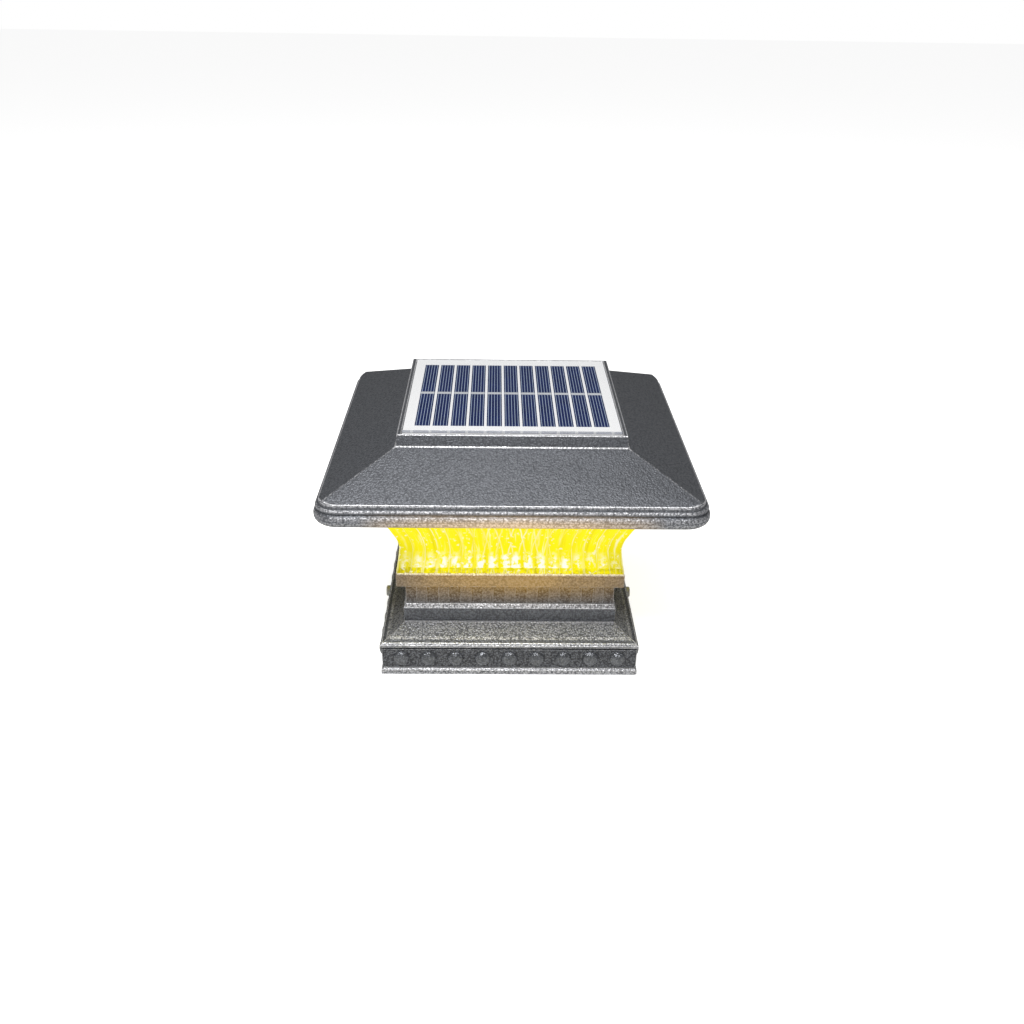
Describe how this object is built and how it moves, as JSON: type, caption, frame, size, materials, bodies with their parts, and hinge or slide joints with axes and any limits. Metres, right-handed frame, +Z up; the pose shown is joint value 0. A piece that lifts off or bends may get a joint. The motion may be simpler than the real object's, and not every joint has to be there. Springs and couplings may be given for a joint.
{
  "type": "deck post cap light",
  "caption": "Square solar lamp that caps a deck post: hipped crown with a flat solar panel, flared fluted lens, and a stepped base with dome studs and a post socket below.",
  "frame": {"origin": "middle of the base at its lower rim", "axes": "+Z up, the front faces -Y, +X to the right seen from the front"},
  "size_m": [0.152, 0.152, 0.1095],
  "materials": {
    "cast_shell": "charcoal powder coat with a fine pebble grain, on cast aluminium",
    "crown_plate": "matt black moulded",
    "lens_amber": "clear fluted acrylic, lit yellow from inside",
    "steel_screw": "zinc-plated",
    "seal_rubber": "soft black",
    "foam_pad": "adhesive foam",
    "white_plastic": "white moulded",
    "white_board": "white solder mask",
    "light_yellow": "yellow phosphor, emissive",
    "backsheet_white": "white backsheet laminate",
    "clear_resin": "clear cast resin",
    "silver_ribbon": "tinned",
    "silicon_blue": "navy blue silicon with fine pale fingers",
    "black_plastic": "matt black moulded",
    "switch_white": "white moulded",
    "battery_sleeve": "plain green shrink sleeve",
    "plated_contact": "nickel-plated spring steel",
    "green_board": "green solder mask",
    "chip_black": "moulded epoxy",
    "ferrite": "dark ferrite",
    "capacitor_sleeve": "dark blue sleeve",
    "lead_red": "red insulation",
    "lead_black": "black insulation"
  },
  "bodies": {
    "lamp": {"base_housing": "cast_shell", "battery": "battery_sleeve", "battery_contact": "plated_contact", "battery_lead_black": "lead_black", "battery_lead_red": "lead_red", "battery_spring": "plated_contact", "board_capacitor": "capacitor_sleeve", "board_coil": "ferrite", "board_screws": "steel_screw", "cell_ribbon": "silver_ribbon", "control_board": "green_board", "controller_chip": "chip_black", "crown_screws": "steel_screw", "crown_shell": "cast_shell", "crown_tray": "crown_plate", "dome_studs": "cast_shell", "electronics_tray": "black_plastic", "led_board": "white_board", "led_board_screws": "steel_screw", "led_lead_black": "lead_black", "led_lead_red": "lead_red", "leds_back": "light_yellow", "leds_front": "light_yellow", "leds_left": "light_yellow", "leds_right": "light_yellow", "lens": "lens_amber", "lens_bottom_gasket": "seal_rubber", "lens_top_gasket": "seal_rubber", "light_deck": "white_plastic", "panel_board": "backsheet_white", "panel_cover": "clear_resin", "panel_lead_black": "lead_black", "panel_lead_red": "lead_red", "panel_pad": "foam_pad", "reflector_column": "white_plastic", "solar_cell_01": "silicon_blue", "solar_cell_02": "silicon_blue", "solar_cell_03": "silicon_blue", "solar_cell_04": "silicon_blue", "solar_cell_05": "silicon_blue", "solar_cell_06": "silicon_blue", "solar_cell_07": "silicon_blue", "solar_cell_08": "silicon_blue", "solar_cell_09": "silicon_blue", "solar_cell_10": "silicon_blue", "solar_cell_11": "silicon_blue", "switch_body": "black_plastic", "tie_nuts": "steel_screw", "tie_screws": "steel_screw", "tray_screws": "steel_screw", "tray_seal": "seal_rubber"},
    "battery_hatch": {"battery_door": "black_plastic", "door_seal": "seal_rubber", "door_screw": "steel_screw"},
    "power_switch": {"switch_slider": "switch_white"},
    "left_clamp": {"clamp_screw_left": "steel_screw"},
    "right_clamp": {"clamp_screw_right": "steel_screw"}
  },
  "joints": [
    {"name": "hatch_hinge", "type": "hinge", "parent": "lamp", "child": "battery_hatch", "pos_m": [-0.0355, -0.019, 0.0161], "axis": [0, 1, 0], "range_deg": [0, 90]},
    {"name": "switch_slide", "type": "slide", "parent": "lamp", "child": "power_switch", "axis": [1, 0, 0], "range_m": [0, 0.004]},
    {"name": "left_clamp_screw", "type": "slide", "parent": "lamp", "child": "left_clamp", "axis": [1, 0, 0], "range_m": [0, 0.0033]},
    {"name": "right_clamp_screw", "type": "slide", "parent": "lamp", "child": "right_clamp", "axis": [-1, 0, 0], "range_m": [0, 0.0033]}
  ]
}
